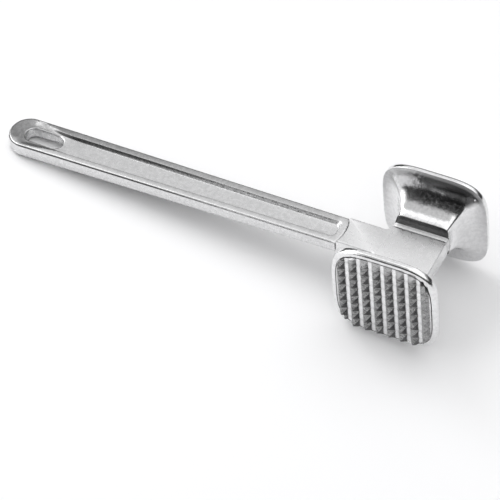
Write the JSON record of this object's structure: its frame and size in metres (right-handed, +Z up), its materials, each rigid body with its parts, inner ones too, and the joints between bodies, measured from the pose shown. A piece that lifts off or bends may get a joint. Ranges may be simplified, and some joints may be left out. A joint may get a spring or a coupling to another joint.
{
  "type": "meat mallet",
  "caption": "Hand mallet for tenderising meat: flat hollowed handle with a hanging slot, flat head block, a flared head with pyramid teeth and a flared head with a flat face.",
  "frame": {"origin": "middle of the underside of the space the mallet takes up as it lies on a table, resting on the grip end and the lower rims of both heads", "axes": "+X from the grip towards the head, along the longest extent; +Y from the toothed face to the flat face, along the hammering axis; +Z up from the table"},
  "size_m": [0.2174, 0.0588, 0.0507],
  "materials": {
    "satin_aluminium": "cast and buffed to a satin shine",
    "bright_aluminium": "cast and tumble polished, slightly mottled",
    "tooth_aluminium": "cast, polished on the tips"
  },
  "bodies": {
    "root": {"handle": "satin_aluminium", "head_block": "satin_aluminium", "toothed_head": "bright_aluminium", "toothed_plate": "tooth_aluminium", "flat_head": "bright_aluminium"}
  },
  "joints": []
}
